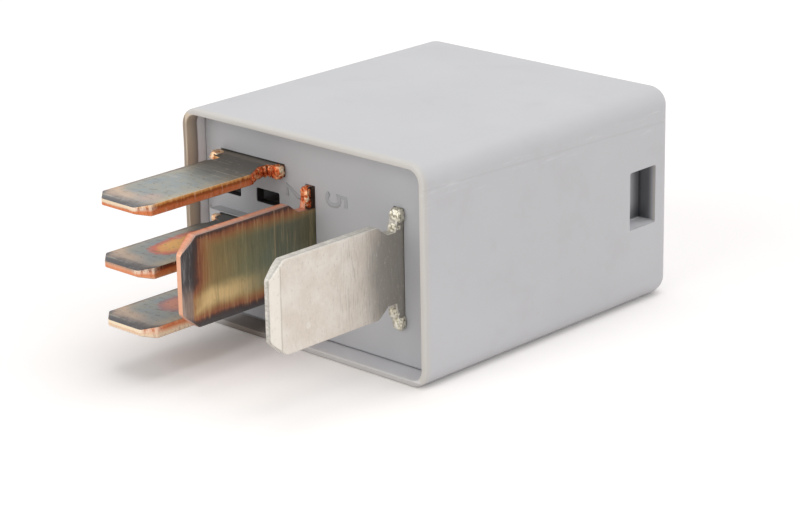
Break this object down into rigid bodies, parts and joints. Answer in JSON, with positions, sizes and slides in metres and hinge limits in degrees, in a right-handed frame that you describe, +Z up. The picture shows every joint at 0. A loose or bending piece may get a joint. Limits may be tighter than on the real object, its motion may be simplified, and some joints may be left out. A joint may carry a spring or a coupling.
{
  "type": "automotive relay",
  "caption": "Plug-in changeover relay in a pale grey box with flat blade terminals at one end, lying on its wide side.",
  "frame": {"origin": "under the middle of the whole relay, on the surface it lies on", "axes": "+X across the body, +Y along it from the blade tips to the closed end, +Z up"},
  "size_m": [0.0228, 0.0366, 0.0153],
  "materials": {
    "cover_plastic": "fine satin moulding",
    "base_plastic": "satin moulding",
    "bare_copper": "copper, tarnished by heat, with bright sheared edges",
    "tinned_copper": "copper with a matte tin plating",
    "bobbin_plastic": "natural nylon",
    "winding_copper": "enamelled copper wire",
    "soft_iron": "zinc plated soft iron",
    "spring_copper": "rolled copper alloy leaf",
    "rivet_metal": "upset rivets",
    "contact_silver": "silver alloy contact",
    "resistor_body": "lacquered ceramic",
    "resistor_wire": "tinned wire"
  },
  "bodies": {
    "relay": {"cover": "cover_plastic", "base": "base_plastic", "coil_terminal_low": "bare_copper", "coil_terminal_high": "bare_copper", "normally_closed_terminal": "bare_copper", "normally_open_terminal": "bare_copper", "common_terminal": "tinned_copper", "coil_bobbin": "bobbin_plastic", "coil_winding": "winding_copper", "coil_core": "soft_iron", "yoke": "soft_iron", "yoke_rivets": "rivet_metal", "terminal_rivets": "rivet_metal", "normally_open_contact": "contact_silver", "normally_closed_contact": "contact_silver", "resistor": "resistor_body", "resistor_leads": "resistor_wire"},
    "armature_assembly": {"armature": "soft_iron", "contact_spring": "spring_copper", "armature_rivets": "rivet_metal", "moving_contact": "contact_silver"}
  },
  "joints": [
    {"name": "armature_rock", "type": "hinge", "parent": "relay", "child": "armature_assembly", "pos_m": [0.0087, 0.01275, 0.00765], "axis": [0, 0, 1], "range_deg": [0, 2.6], "stiffness_Nm_per_rad": 0.01, "springref_deg": -28.65, "deforming": ["contact_spring"]}
  ]
}
